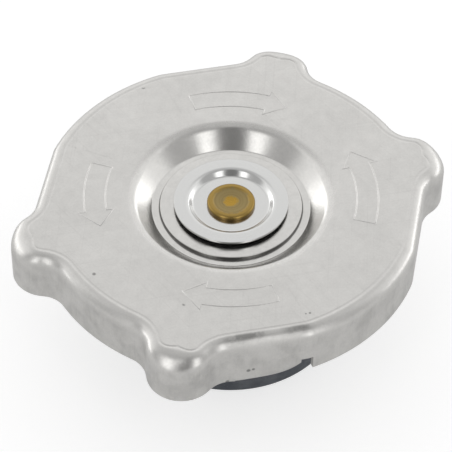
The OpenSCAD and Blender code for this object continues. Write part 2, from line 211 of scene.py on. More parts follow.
class CapStage(bpy.types.PropertyGroup):
    """Camera and studio light"""
    azimuth: angle("Azimuth", "Turn of the camera round the cap", -46.83)
    elevation: angle("Elevation", "Height of the camera above the horizon", 47.48)
    roll: angle("Roll", "Roll of the camera", -1.0)
    distance: length("Distance", "From the camera to the top face", 427.4)
    aim_side: length("Aim side", "Sideways place in the picture", 0.949)
    aim_up: length("Aim up", "Upward place in the picture", 5.725)
    lens: FloatProperty(name="Lens", description="Focal length in millimetres", default=187.44)
    floor_gap: length("Floor gap", "Gap between the floor and the lower seal", 0.02)
    floor_size: length("Floor size", "Half width of the floor", 4000)
    floor_paint: share("Floor paint", "Lightness of the floor", 0.5)
    floor_white: share("Floor white", "Own white of the floor where it is looked at", 0.66)
    floor_shine: share("Floor shine", "Share of that white that the metal mirrors", 0.5)
    behind: share("Behind", "Level of the wall behind the cap", 1.0, 4.0)
    overhead: share("Overhead", "Level of the ceiling", 0.6, 4.0)
    room: share("Room", "Level of the room on the camera's side", 0.5, 4.0)
    camera_shade: share("Camera shade", "Level of the dark place round the camera", 0.21, 4.0)
    front_boxes: share("Front boxes", "Extra level beside the camera", 1.3, 4.0)
    side_boxes: share("Side boxes", "Extra level left and right", 1.1, 4.0)


GROUPS = {
    "cap_shell": CapShellSizes,
    "cap_well": CapWellSizes,
    "cap_lug": CapLugSizes,
    "cap_fixing": CapFixingSizes,
    "cap_valve": CapValveSizes,
    "cap_marks": CapMarkSizes,
    "cap_finish": CapFinishes,
    "cap_stage": CapStage,
}


# Plane geometry

def polar(r, a):
    return Vector((r * math.cos(a), r * math.sin(a)))


def turned(x, y, a):
    return Vector((x * math.cos(a) - y * math.sin(a), x * math.sin(a) + y * math.cos(a)))


def turned_point(r, z, a):
    return Vector((r * math.cos(a), r * math.sin(a), z))


def heading(p, q):
    return math.atan2(q.y - p.y, q.x - p.x)


def smooth_step(low, high, x):
    s = min(1.0, max(0.0, (x - low) / (high - low)))
    return s * s * (3 - 2 * s)


def lerp(a, b, s):
    return a + (b - a) * s


Spot = namedtuple("Spot", "r z nr nz")


def walk(start, moves, t, bend_step=math.radians(9)):
    """Spots on the left face of a bent sheet, whose right face follows straights and bends.
    A move is (length,) or (angle, inner radius); angles turn left. A long straight gets a spot
    close to each end that meets another move, which keeps its shading flat."""
    p = Vector(start)
    h = 0.0
    way = [(p.copy(), h)]
    last = len(moves) - 1
    for i, move in enumerate(moves):
        if len(move) == 1:
            run = move[0]
            parts = [run]
            if run > 5 * GUARD:
                parts = [GUARD] * (i > 0) + [run - GUARD] * (i < last) + parts
            way.extend((p + polar(part, h), h) for part in parts)
            p = p + polar(run, h)
            continue
        bend, inner = move
        side = math.copysign(QUARTER, bend)
        r = inner + t if bend > 0 else inner
        centre = p + polar(r, h + side)
        step = bend_step if r > TIGHT else 2 * bend_step
        steps = max(2, math.ceil(abs(bend) / step))
        for k in range(1, steps + 1):
            a = bend * k / steps
            way.append((centre - polar(r, h + side + a), h + a))
        p = centre - polar(r, h + side + bend)
        h += bend
    spots = []
    for p, h in way:
        n = polar(1, h + QUARTER)
        spots.append(Spot(p.x + t * n.x, p.y + t * n.y, n.x, n.y))
    return spots


def straight_between(bends, a, rise):
    """Length of the straight between two opposite bends that climb together, and their reach."""
    straight = (rise - bends * (1 - math.cos(a))) / math.sin(a)
    return straight, bends * math.sin(a) + straight * math.cos(a)


# Mesh building

def make_piece(name, shape, finish, body, nodes=(), crease=math.radians(38)):
    """A smooth shaded mesh piece that rides on a body and stands for CAD nodes."""
    points, faces = shape
    mesh = bpy.data.meshes.new(name)
    mesh.from_pydata([tuple(p) for p in points], [], faces)
    if mesh.validate(verbose=False):
        raise RuntimeError(f"{name}: the mesh had faults")
    mesh.polygons.foreach_set("use_smooth", [True] * len(mesh.polygons))
    mesh.set_sharp_from_angle(angle=crease)
    mesh.materials.append(finish)
    piece = bpy.data.objects.new(name, mesh)
    bpy.context.scene.collection.objects.link(piece)
    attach(piece, body)
    if nodes:
        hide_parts(*nodes)
    return piece


def soften(piece, width, limit=math.radians(50)):
    """Breaks the sharp edges of a piece by a small bevel."""
    bevel = piece.modifiers.new("broken_edges", "BEVEL")
    bevel.width = width
    bevel.segments = 2
    bevel.limit_method = "ANGLE"
    bevel.angle_limit = limit
    bevel.harden_normals = True


# The sides of a sheet's cell: the way to the next cell, and the two corners between them
CELL_SIDES = ((-1, 0, (0, 0), (0, 1)), (1, 0, (1, 1), (1, 0)),
              (0, 1, (0, 1), (1, 1)), (0, -1, (1, 0), (0, 0)))


def sheet_solid(outer, inner, missing):
    """Points and faces of a closed sheet from two like grids, each as grid[column][row].
    The columns run round; missing cells leave an opening whose edge is closed."""
    columns = len(outer)
    rows = len(outer[0])
    points = [p for line in outer for p in line] + [p for line in inner for p in line]
    shift = columns * rows

    def o(i, j):
        return j % columns * rows + i

    def n(i, j):
        return shift + o(i, j)

    def there(i, j):
        return 0 <= i < rows - 1 and not (missing and missing(i, j % columns))

    faces = []
    for j in range(columns):
        for i in range(rows - 1):
            if not there(i, j):
                continue
            faces.append((o(i, j), o(i + 1, j), o(i + 1, j + 1), o(i, j + 1)))
            faces.append((n(i, j), n(i, j + 1), n(i + 1, j + 1), n(i + 1, j)))
            for di, dj, (ai, aj), (bi, bj) in CELL_SIDES:
                if not there(i + di, j + dj):
                    a, b = (i + ai, j + aj), (i + bi, j + bj)
                    faces.append((o(*a), o(*b), n(*b), n(*a)))
    return used_only(points, faces)


def used_only(points, faces):
    """Drops the points that no face uses."""
    used = sorted({k for face in faces for k in face})
    place = {k: i for i, k in enumerate(used)}
    return [points[k] for k in used], [tuple(place[k] for k in face) for face in faces]


def round_sheet(spots, t, columns, missing=None):
    """A bent sheet turned round the axis."""
    outer = []
    inner = []
    for j in range(columns):
        a = TAU * j / columns
        outer.append([turned_point(s.r, s.z, a) for s in spots])
        inner.append([turned_point(s.r - t * s.nr, s.z - t * s.nz, a) for s in spots])
    return sheet_solid(outer, inner, missing)


def lathe(profile, columns):
    """Points and faces of a profile [(r, z)] turned round the axis, from axis to axis or as a
    closed ring. The profile runs anticlockwise in the r, z plane."""
    ring = profile[0][0] > 0 or profile[-1][0] > 0
    points = []
    rows = []
    for r, z in profile:
        if r <= 0:
            rows.append([len(points)])
            points.append(Vector((0, 0, z)))
            continue
        rows.append(list(range(len(points), len(points) + columns)))
        points.extend(turned_point(r, z, TAU * j / columns) for j in range(columns))
    pairs = list(zip(rows, rows[1:]))
    if ring:
        pairs.append((rows[-1], rows[0]))
    faces = []
    for low, high in pairs:
        for j in range(columns):
            k = (j + 1) % columns
            corners = low[j % len(low)], low[k % len(low)], high[k % len(high)], high[j % len(high)]
            face = tuple(dict.fromkeys(corners))
            if len(face) > 2:
                faces.append(face)
    return points, faces


def rounded(corners):
    """A profile whose corners (r, z, radius) are rounded off."""
    steps = 4
    profile = []
    for i, (r, z, radius) in enumerate(corners):
        p = Vector((r, z))
        if radius <= 0:
            profile.append((r, z))
            continue
        before = Vector(corners[i - 1][:2])
        after = Vector(corners[(i + 1) % len(corners)][:2])
        u = (before - p).normalized()
        v = (after - p).normalized()
        half = u.angle(v) / 2
        reach = radius / math.tan(half)
        centre = p + (u + v).normalized() * (radius / math.sin(half))
        a0 = heading(centre, p + u * reach)
        a1 = heading(centre, p + v * reach)
        sweep = (a1 - a0 + math.pi) % TAU - math.pi
        for k in range(steps + 1):
            q = centre + polar(radius, a0 + sweep * k / steps)
            profile.append((q.x, q.y))
    return profile


def coil(radius, wire, low, height, turns, steps, sides):
    """A round wire wound on a helix whose first and last turns lie close."""
    total = turns * steps
    close = 1.1 * wire / steps
    wide = (height - wire - 2 * steps * close) / (total - 2 * steps)
    points = []
    for i in range(total + 1):
        if i < steps:
            rise = i * close
        elif i > total - steps:
            rise = height - wire - (total - i) * close
        else:
            rise = steps * close + (i - steps) * wide
        for k in range(sides):
            side = polar(wire / 2, TAU * k / sides)
            points.append(turned_point(radius + side.x, low + wire / 2 + rise + side.y,
                                       TAU * i / steps))
    faces = [tuple(range(sides))]
    for i in range(total):
        for k in range(sides):
            m = (k + 1) % sides
            faces.append((i * sides + k, i * sides + m, (i + 1) * sides + m, (i + 1) * sides + k))
    faces.append(tuple(total * sides + k for k in reversed(range(sides))))
    return points, [tuple(reversed(face)) for face in faces]


# Shader maths

class Value:
    """A shader socket that takes part in Python expressions."""

    def __init__(self, bench, socket):
        self.bench = bench
        self.socket = socket

    def math(self, operation, *others):
        sockets = dict(enumerate((self, *others)))
        return self.bench.add("ShaderNodeMath", {"operation": operation}, sockets)

    def __add__(self, other):
        return self.math("ADD", other)

    __radd__ = __add__

    def __sub__(self, other):
        return self.math("SUBTRACT", other)

    def __rsub__(self, other):
        return self.bench.add("ShaderNodeMath", {"operation": "SUBTRACT"}, {0: other, 1: self})

    def __mul__(self, other):
        return self.math("MULTIPLY", other)

    __rmul__ = __mul__

    def ramp(self, low, high, start=0.0, end=1.0):
        """Smooth step from start to end as this value goes from low to high."""
        return self.bench.add("ShaderNodeMapRange", {"interpolation_type": "SMOOTHSTEP"},
                              {"Value": self, "From Min": low, "From Max": high,
                               "To Min": start, "To Max": end})


class Bench:
    """The node tree of one material or of the world."""

    def __init__(self, owner):
        owner.use_nodes = True
        self.owner = owner
        self.tree = owner.node_tree
        self.tree.nodes.clear()

    def add(self, kind, settings=None, sockets=None, output=0):
        """Adds a node, sets its settings, then its sockets, and returns one of its outputs."""
        node = self.tree.nodes.new(kind)
        for name, value in (settings or {}).items():
            setattr(node, name, value)
        for name, value in (sockets or {}).items():
            if isinstance(value, Value):
                self.tree.links.new(value.socket, node.inputs[name])
            else:
                node.inputs[name].default_value = value
        return Value(self, node.outputs[output]) if len(node.outputs) else node

    def vector(self, operation, first, second, output=0):
        sockets = {0: first, "Scale" if operation == "SCALE" else 1: second}
        return self.add("ShaderNodeVectorMath", {"operation": operation}, sockets, output)

    def place(self):
        """Place on the piece at rest, in millimetres."""
        return self.scaled(self.add("ShaderNodeTexCoord", output="Object"), 1 / MM)

    def stretched(self, vector, x, y, z):
        return self.vector("MULTIPLY", vector, (x, y, z))

    def scaled(self, vector, factor):
        return self.vector("SCALE", vector, factor)

    def dot(self, vector, way):
        return self.vector("DOT_PRODUCT", vector, way, "Value")

    def away(self, vector, spot):
        return self.vector("DISTANCE", vector, spot, "Value")

    def radius(self, vector):
        return self.away(self.stretched(vector, 1, 1, 0), (0, 0, 0))

    def tilted(self, vector, turn):
        return self.add("ShaderNodeVectorRotate", {"rotation_type": "Z_AXIS"},
                        {"Vector": vector, "Angle": turn})

    def axis(self, vector, name):
        return self.add("ShaderNodeSeparateXYZ", None, {0: vector}, name)

    def noise(self, vector, per_mm, detail=2.0, rough=0.5):
        return self.add("ShaderNodeTexNoise", None,
                        {"Vector": vector, "Scale": per_mm, "Detail": detail, "Roughness": rough})

    def rings(self, r, per_mm, detail, z=0.0):
        """Noise that runs round the axis, as a turning tool leaves it."""
        return self.noise(self.add("ShaderNodeCombineXYZ", None, {"X": r, "Y": z}), per_mm, detail)

    def cells(self, vector, per_mm):
        return self.add("ShaderNodeTexVoronoi", None, {"Vector": vector, "Scale": per_mm}, "Distance")

    def mixed(self, amount, a, b):
        """Colour a where the amount is 0, colour b where it is 1."""
        a, b = (c if isinstance(c, Value) else (*c, 1.0) for c in (a, b))
        return self.add("ShaderNodeMix", {"data_type": "RGBA"}, {0: amount, 6: a, 7: b}, 2)

    def bumped(self, height, depth_mm):
        return self.add("ShaderNodeBump", None, {"Height": height, "Distance": depth_mm * MM})

    def surface(self, base, rough, height, depth_mm, **more):
        """Closes the material with one principled shader."""
        sockets = {"Base Color": base, "Roughness": rough, "Normal": self.bumped(height, depth_mm)}
        shader = self.add("ShaderNodeBsdfPrincipled", None, {**sockets, **more})
        self.add("ShaderNodeOutputMaterial", None, {"Surface": shader})
        return self.owner

    def metal(self, base, rough, height, depth_mm):
        return self.surface(base, rough, height, depth_mm, Metallic=1.0)


def tint(rgb, factor):
    """A colour made lighter or darker, as three numbers."""
    return tuple(min(1.0, c * factor) for c in rgb)


def new_bench(name):
    """An empty material, and the place on the piece that wears it."""
    b = Bench(bpy.data.materials.new(name))
    return b, b.place()


# Finishes; places and depths in them are in millimetres

# Dark stains on the shell: x, y, z and size
STAINS = ((-30.8, 3.9, 30.5, 0.45), (-10.8, -29.3, 30.5, 0.3), (-11.4, -28.9, 30.5, 0.22),
          (-22.9, -26.3, 22.7, 0.5), (-22.2, -26.8, 22.85, 0.4))
# Painted dark reflection on the top edge of one flat: from and to along the flat
EDGE_REFLECTION_SPANS = ((-8.6, -1.4), (2.4, 7.0))
# Fine scratches on the top face: direction in radians and how close they lie
SCRATCHES = ((0.6, 2.2), (-0.7, 2.6), (1.7, 1.8))


def painted_edge_reflection(b, at, s):
    """Where a painted dark reflection lies along the top edge of the front flat."""
    side = s.flat_angle + math.pi
    inward = (s.body_r - s.flat_in) / MM - b.dot(at, (*polar(1, side), 0))
    along = b.dot(at, (*polar(1, side + QUARTER), 0))
    edge_reflection = 0.0
    for start, end in EDGE_REFLECTION_SPANS:
        edge_reflection = edge_reflection + along.ramp(start - 1.4, start + 1.6) * along.ramp(end + 1.4, end - 1.6)
    return edge_reflection * inward.ramp(2.4, 1.6) * inward.ramp(0.2, 1.4)


def plated_sheet(f, s, w):
    """Satin plated sheet: bright in the well, smeared draw marks on the skirt, stains and specks,
    painted shade in the groove round the boss and a painted dark reflection on the front flat's top
    edge.
    """
    b, at = new_bench("plated_sheet")
    r = b.radius(at)
    down = TOP / MM - b.axis(at, "Z")
    past_boss = r - w.boss_r / MM
    below_boss = down - w.boss_drop / MM
    skirt = down.ramp(0.9, 3.1) * r.ramp(24.0, 27.0)
    well = (r - w.well_r / MM).ramp(0.4, -1.8)
    # Painted shade: the colour is darkened down the boss's side in the groove round it, where shade
    # falls.
    groove_shade = past_boss.ramp(0.09, 0.14) * past_boss.ramp(0.45, 0.23) * below_boss.ramp(0.01, 0.11)
    cloud = b.noise(at, 0.09, 4.0)
    mottle = b.noise(at, 0.5, 4.0, 0.65)
    grain = b.noise(at, 2.6, 3.0, 0.6)
    wave = b.noise(at, 0.13, 1.0)
    drawn = b.noise(b.stretched(at, 1, 1, 0.16), 0.55, 4.0, 0.7)
    drawn = drawn * b.noise(at, 0.22, 2.0).ramp(0.38, 0.66)
    smear = b.noise(b.stretched(at, 1, 1, 0.6), 0.2, 4.0, 0.65)
    lines = 0.0
    for turn, close in SCRATCHES:
        along = b.stretched(b.tilted(at, turn), 0.05, close, 0.3)
        lines = lines + b.noise(along, 1.0, 2.0).ramp(0.6, 0.72)
    specks = b.cells(at, 0.16).ramp(0.075, 0.035) * b.noise(at, 0.35, 0.0).ramp(0.5, 0.56)
    for *spot, size in STAINS:
        specks = specks + b.away(at, spot).ramp(size, 0.4 * size)
    # Painted reflection: the front flat's top edge is darkened in two streaks that stand in for a
    # dark reflection there.
    edge_reflection = painted_edge_reflection(b, at, s) * (0.45 + 0.55 * mottle.ramp(0.35, 0.6))
    shade = 1.04 - 0.16 * (grain - 0.5) - 0.16 * (mottle - 0.5) - 0.12 * (cloud - 0.5)
    # The painted groove shade and the painted dark edge reflection are taken off the colour here.
    shade = shade - (0.025 * lines + 0.55 * specks) * (1.0 - well) - 0.75 * groove_shade - 0.48 * edge_reflection
    shade = shade - skirt * (0.10 * drawn.ramp(0.1, 0.6) + 0.12 * smear.ramp(0.38, 0.7))
    rough = 0.33 + 0.12 * (cloud - 0.5) + 0.14 * (mottle - 0.5) + 0.04 * lines
    rough = rough * (1.0 - 0.35 * well) + 0.05 * skirt
    fine = (0.8 * grain + mottle + 0.2 * lines) * (1.0 - 0.85 * well) + 0.8 * skirt * drawn
    relief = fine + wave * (1.5 + 9.0 * skirt + 3.0 * well)
    return b.metal(b.scaled(f.plate, shade.math("MAXIMUM", 0.05)), rough, relief, 0.012)


def bright_washer(f):
    """Polished washer with faint turning rings and fine scratches."""
    b, at = new_bench("bright_washer")
    rings = b.rings(b.radius(at), 2.4, 2.0)
    grain = b.noise(at, 3.0, 3.0, 0.6)
    lines = b.noise(b.stretched(b.tilted(at, 1.1), 0.08, 2.4, 0.3), 1.0, 2.0)
    base = b.mixed(grain, tint(f.washer, 0.95), tint(f.washer, 1.05))
    rough = 0.17 + 0.08 * (rings - 0.5) + 0.1 * (lines - 0.5)
    return b.metal(base, rough, 0.6 * rings + 0.4 * lines, 0.004)


def rivet_brass(f, top):
    """Brass with a golden middle, an olive ring and brown sides."""
    b, at = new_bench("rivet_brass")
    r = b.radius(at)
    z = b.axis(at, "Z")
    rings = b.rings(r, 2.6, 3.0, z * 0.4)
    spots = b.noise(at, 1.3, 4.0, 0.65)
    fuzzy = r + 1.6 * (spots - 0.5)
    olive = fuzzy.ramp(0.9, 1.6) * (1.0 - 0.55 * fuzzy.ramp(2.9, 3.5))
    sides = (top / MM - z).ramp(0.28, 0.6)
    brown = 0.75 * sides + 0.5 * (rings - 0.35).ramp(0.1, 0.4) * olive
    base = b.mixed(brown, b.mixed(olive, f.brass, f.olive), f.tarnish)
    rough = 0.26 + 0.25 * (rings - 0.5) + 0.12 * olive
    return b.metal(base, rough, rings + 0.5 * spots, 0.014)


def valve_brass(f):
    """Plain turned brass of the vacuum valve."""
    b, at = new_bench("valve_brass")
    rings = b.rings(b.radius(at), 3.0, 3.0)
    spots = b.noise(at, 0.5, 4.0, 0.6)
    dull = 0.5 * spots.ramp(0.4, 0.75) + 0.2 * rings
    base = b.mixed(dull, tint(f.brass, 1.4), tint(f.tarnish, 1.7))
    return b.metal(base, 0.3 + 0.2 * (spots - 0.5), rings, 0.01)


def drawn_steel(f, name, factor, rough_at):
    """Drawn or spring steel sheet with draw lines and a dull bloom."""
    b, at = new_bench(name)
    bloom = b.noise(at, 0.16, 4.0, 0.6)
    drawn = b.noise(b.stretched(at, 1, 1, 0.05), 1.3, 3.0)
    grain = b.noise(at, 2.5, 2.0)
    dark, light = tint(f.steel, 0.82 * factor), tint(f.steel, 1.12 * factor)
    base = b.mixed(0.6 * bloom + 0.4 * drawn, dark, light)
    rough = rough_at + 0.2 * (bloom - 0.5) + 0.08 * (grain - 0.5)
    return b.metal(base, rough, drawn + 0.5 * grain, 0.012)


def spring_wire(f):
    """Drawn wire with a dark oil film between its bright lines."""
    b, at = new_bench("spring_wire")
    lines = b.noise(b.stretched(at, 0.25, 0.25, 4.0), 1.2, 2.0)
    film = b.noise(at, 0.4, 3.0)
    oily = 0.6 * film.ramp(0.35, 0.7) + 0.3 * lines
    base = b.mixed(oily, tint(f.wire, 1.25), tint(f.wire, 0.6))
    return b.metal(base, 0.3 + 0.15 * (film - 0.5), lines, 0.01)


def moulded_rubber(f, name, bloom_at):
    """Dark moulded rubber with a faint grey bloom and flecks of dust."""
    b, at = new_bench(name)
    bloom = b.noise(at, 0.22, 4.0, 0.6)
    pores = b.noise(at, 3.4, 3.0, 0.6)
    flecks = b.cells(at, 1.1).ramp(0.13, 0.06) * b.noise(at, 0.7, 0.0).ramp(0.52, 0.6)
    dusty = bloom_at * bloom.ramp(0.3, 0.8) + 0.5 * flecks
    rough = 0.56 + 0.16 * (bloom - 0.5) + 0.1 * (pores - 0.5)
    return b.surface(b.mixed(dusty, f.rubber, f.dust), rough, pores, 0.03,
                     **{"Specular IOR Level": 0.45})


# Plan and section of the shell

Station = namedtuple("Station", "point out lobe run")


def quarter_plan(s, g):
    """Stations of one quarter of the skirt, from the short side to the long side."""
    lobe_c = s.lobe_span / 2 - s.lobe_r
    lobe = polar(lobe_c, s.lobe_angle)
    flat_r = s.body_r - s.flat_in
    round_f = s.body_r + s.fillet_r
    lobe_f = s.lobe_r + s.fillet_r
    near = math.acos((lobe_c ** 2 + round_f ** 2 - lobe_f ** 2) / (2 * lobe_c * round_f))
    first_a = s.lobe_angle - near
    first = polar(round_f, first_a)
    turn = s.flat_angle - s.lobe_angle
    gap = flat_r + s.fillet_r - lobe_c * math.cos(turn)
    second_t = math.sqrt(lobe_f ** 2 - gap ** 2) - lobe_c * math.sin(turn)
    second = turned(flat_r + s.fillet_r, second_t, s.flat_angle)
    corner_t = math.sqrt((s.body_r - s.blend_r) ** 2 - (flat_r - s.blend_r) ** 2)
    corner = turned(flat_r - s.blend_r, corner_t, s.flat_angle)
    corner_a = s.flat_angle + math.atan2(corner_t, flat_r - s.blend_r)
    lug_end = corner_t - g.stop
    notch_a = s.flat_angle + math.asin((lug_end + g.notch_w - corner_t) / s.blend_r)
    stations = []

    def arc(centre, r, a0, a1, hollow=False, tip=False, runs=False):
        steps = max(2, math.ceil(abs(a1 - a0) * r / s.pitch))
        for k in range(steps):
            a = lerp(a0, a1, k / steps)
            side = -1 if hollow else 1
            weight = math.sin(math.pi * k / steps) ** 2 if tip else 0
            run = corner_t + r * math.sin(a - s.flat_angle) if runs else None
            stations.append(Station(centre + polar(r, a), side * polar(1, a), weight, run))

    def flat(t0, t1):
        steps = max(1, math.ceil((t1 - t0) / s.pitch))
        for k in range(steps):
            t = lerp(t0, t1, k / steps)
            place = turned(flat_r, t, s.flat_angle)
            stations.append(Station(place, polar(1, s.flat_angle), 0, t))

    middle = Vector((0, 0))
    arc(middle, s.body_r, 0, first_a)
    arc(first, s.fillet_r, first_a + math.pi, heading(first, lobe), hollow=True)
    arc(lobe, s.lobe_r, heading(lobe, first), heading(lobe, second), tip=True)
    arc(second, s.fillet_r, heading(second, lobe) + TAU, s.flat_angle + math.pi, hollow=True)
    flat(second_t, lug_end)
    flat(lug_end, corner_t)
    arc(corner, s.blend_r, s.flat_angle, notch_a, runs=True)
    arc(corner, s.blend_r, notch_a, corner_a, runs=True)
    arc(middle, s.body_r, corner_a, QUARTER)
    return stations, second_t + g.start, lug_end


def full_plan(s, g):
    """Stations of the whole skirt, and where a lug starts and ends along its flat."""
    quarter, lug_start, lug_end = quarter_plan(s, g)
    top = Station(Vector((0, s.body_r)), Vector((0, 1)), 0, None)
    flip = [Station(Vector((-w.point.x, w.point.y)), Vector((-w.out.x, w.out.y)), w.lobe, None)
            for w in reversed(quarter[1:])]
    half = quarter + [top] + flip
    rest = [Station(-w.point, -w.out, w.lobe, w.run) for w in half]
    return half + rest, lug_start, lug_end


def well_section(s, w):
    """Upper and lower points (r, z) of the well's sheet, from the middle hole to the brim."""
    side, side_run = straight_between(w.boss_edge_r + w.groove_in_r, w.side_bend, w.groove_deep)
    wall, wall_run = straight_between(w.groove_out_r + w.brim_r, w.wall_bend,
                                      w.boss_drop + w.groove_deep)
    upper = walk((w.hole_r, TOP - w.boss_drop), [
        (w.boss_r - w.hole_r,),
        (-w.side_bend, w.boss_edge_r),
        (side,),
        (w.side_bend, w.groove_in_r),
        (w.well_r - wall_run - w.boss_r - side_run,),
        (w.wall_bend, w.groove_out_r),
        (wall,),
        (-w.wall_bend, w.brim_r)], 0, math.radians(6))
    return [((p.r, p.z), q) for p, q in zip(upper, underside(upper, s.sheet_t))]


def underside(upper, t):
    """Lower points of a sheet under its upper face, as a ball of its thickness would leave them."""
    lower = []
    r = 0.0
    for p in upper:
        r = max(r, p.r - t * p.nr)
        reach = [(q, t * t - (r - q.r) ** 2) for q in upper]
        lower.append((r, min(q.z - math.sqrt(room) for q, room in reach if room > 0)))
    return lower


TOP_ROWS = 7
EDGE_ROWS = 9
WALL_ROWS = 4
FOOT_ROWS = 12
BEND_ROWS = 6
# How late the lug's ramp climbs to its notch, and how late its flat grows to full reach
CLIMB_POWER = 5
REACH_POWER = 3
# Least share of the lug's bend, and the share of the curl from which its rows follow the lug
LEAST_BEND = 0.15
BENT_AT = 0.3


def shell_column(station, s, g, section, lug_start, lug_end):
    """Outer and inner points of the shell at one station, from the hole to the skirt's foot."""
    t = s.sheet_t
    skirt_z = TOP - s.skirt_h
    e = s.edge_r + s.lobe_edge * station.lobe
    a = math.atan2(station.point.y, station.point.x)
    pairs = [(turned_point(*upper, a), turned_point(*lower, a)) for upper, lower in section]

    def rim(inset, z, no, nz):
        p = station.point - station.out * inset
        q = station.point - station.out * (inset + t * no)
        return Vector((*p, z)), Vector((*q, z - t * nz))

    start = pairs[-1]
    end = rim(e + s.crease_w + GUARD, TOP, 0, 1)
    for k in range(1, TOP_ROWS + 1):
        pairs.append(tuple(x.lerp(y, k / TOP_ROWS) for x, y in zip(start, end)))
    pairs.append(rim(e + s.crease_w, TOP, 0, 1))
    pairs.append(rim(e + s.crease_w / 2, TOP - s.crease_deep, 0, 1))
    for k in range(EDGE_ROWS + 1):
        n = polar(1, QUARTER * (1 - k / EDGE_ROWS))
        pairs.append(rim(e * (1 - n.x), TOP - e * (1 - n.y), n.x, n.y))
    notch_z = skirt_z + g.notch_h
    for k in range(1, WALL_ROWS + 1):
        pairs.append(rim(0, lerp(TOP - e, notch_z, k / WALL_ROWS), 1, 0))
    plain = [rim(0, lerp(notch_z, skirt_z, k / FOOT_ROWS), 1, 0) for k in range(1, FOOT_ROWS + 1)]
    curl_start = lug_start - g.start
    if station.run is None or not curl_start <= station.run <= lug_end + SLIVER:
        return pairs + plain
    curl = smooth_step(curl_start, curl_start + g.curl, station.run)
    climb = max(0.0, station.run - lug_start) / (lug_end - lug_start)
    fold = skirt_z - g.low + g.rise * climb ** CLIMB_POWER + g.bend_r
    bend = QUARTER * max(curl, LEAST_BEND)
    tail = lerp(fold - skirt_z, g.reach - g.bend_r, curl ** REACH_POWER)
    lug = [rim(0, lerp(notch_z, fold, 0.5), 1, 0), rim(0, fold, 1, 0)]
    for k in range(1, BEND_ROWS + 1):
        n = polar(1, -bend * k / BEND_ROWS)
        lug.append(rim(g.bend_r * (1 - n.x), fold + g.bend_r * n.y, n.x, n.y))
    flat_rows = FOOT_ROWS - len(lug)
    for k in range(1, flat_rows + 1):
        reach = tail * (k / flat_rows) ** 2
        inset = g.bend_r * (1 - n.x) - reach * n.y
        lug.append(rim(inset, fold + g.bend_r * n.y - reach * n.x, n.x, n.y))
    bent = smooth_step(0, BENT_AT, curl)
    return pairs + [tuple(x.lerp(y, bent) for x, y in zip(p, q)) for p, q in zip(plain, lug)]


# Pieces and stage, each with its operator

# Where the lights of the room rise and fall, in degrees of turn from the camera or of height
WALL_UP = (40, 74)
SHADE_TURN = (16, 25)
BOX_TURN = (20, 28, 38, 50)
BOX_UP = (68, 46)
FRONT_TURN = (95, 78)
FRONT_UP = (88, 70)
SIDE_TURN = (82, 98, 140, 156)
SIDE_UP = (-14, 0, 8, 22)


def ray(b, kind):
    """Whether a ray is of this kind."""
    return b.add("ShaderNodeLightPath", output=f"Is {kind} Ray")


def add_floor(st):
    size = st.floor_size
    mesh = bpy.data.meshes.new("floor")
    corners = ((-1, -1), (1, -1), (1, 1), (-1, 1))
    points = [(x * size, y * size, -st.floor_gap) for x, y in corners]
    mesh.from_pydata(points, [], [(0, 1, 2, 3)])
    b = Bench(bpy.data.materials.new("pale_floor"))
    mirrored = ray(b, "Glossy").math("MAXIMUM", ray(b, "Transmission"))
    paint = b.add("ShaderNodeBsdfDiffuse", None, {"Color": (st.floor_paint,) * 3 + (1.0,)})
    level = st.floor_white * (ray(b, "Camera") + st.floor_shine * mirrored)
    white = b.add("ShaderNodeEmission", None, {"Strength": level})
    both = b.add("ShaderNodeAddShader", None, {0: paint, 1: white})
    b.add("ShaderNodeOutputMaterial", None, {"Surface": both})
    mesh.materials.append(b.owner)
    floor = bpy.data.objects.new("floor", mesh)
    bpy.context.scene.collection.objects.link(floor)


def add_sky(st):
    """A bright wall behind, a dim ceiling, and soft boxes on both sides of the dark camera."""
    world = bpy.data.worlds.new("studio")
    bpy.context.scene.world = world
    b = Bench(world)
    camera = ray(b, "Camera")
    toward = b.add("ShaderNodeTexCoord", output="Generated")
    a = st.azimuth
    across = b.dot(toward, (math.cos(a), math.sin(a), 0))
    near = b.dot(toward, (math.sin(a), -math.cos(a), 0))
    turn = across.math("ARCTAN2", near).math("ABSOLUTE")
    up = b.axis(toward, "Z")

    def by_turn(edges, *levels):
        return turn.ramp(*(math.radians(d) for d in edges), *levels)

    def by_height(edges, *levels):
        return up.ramp(*(math.sin(math.radians(d)) for d in edges), *levels)

    def band(ramp, edges):
        return ramp(edges[:2]) * ramp(edges[:1:-1])

    far = by_height(WALL_UP, st.behind, st.overhead)
    shade = by_turn(SHADE_TURN, st.camera_shade, st.room)
    front = shade + st.front_boxes * band(by_turn, BOX_TURN) * by_height(BOX_UP)
    in_front = by_turn(FRONT_TURN) * by_height(FRONT_UP)
    sides = band(by_turn, SIDE_TURN) * band(by_height, SIDE_UP)
    level = far * (1.0 - in_front) + front * in_front + st.side_boxes * sides
    strength = camera + (1.0 - camera) * level
    light = b.add("ShaderNodeBackground", None, {"Color": (1, 1, 1, 1), "Strength": strength})
    b.add("ShaderNodeOutputWorld", None, {"Surface": light})


def add_camera(st):
    """Aims at the top face, then moves it to its place in the picture."""
    camera = bpy.data.objects.new("camera", bpy.data.cameras.new("camera"))
    camera.data.lens = st.lens
    camera.data.sensor_width = 36
    camera.data.clip_end = 20
    camera.matrix_world = (
        Matrix.Translation((0, 0, TOP))
        @ Matrix.Rotation(st.azimuth, 4, "Z")
        @ Matrix.Rotation(QUARTER - st.elevation, 4, "X")
        @ Matrix.Rotation(-st.roll, 4, "Z")
        @ Matrix.Translation((-st.aim_side, -st.aim_up, st.distance)))
    bpy.context.scene.collection.objects.link(camera)
    bpy.context.scene.camera = camera


class CAP_OT_stage(bpy.types.Operator):
    """Set up the floor, the studio light and the camera"""
    bl_idname = "cap.stage"
    bl_label = "Stage"

    def execute(self, context):
        st = context.scene.cap_stage
        add_floor(st)
        add_sky(st)
        add_camera(st)
        context.scene.view_settings.view_transform = "Standard"
        return {"FINISHED"}


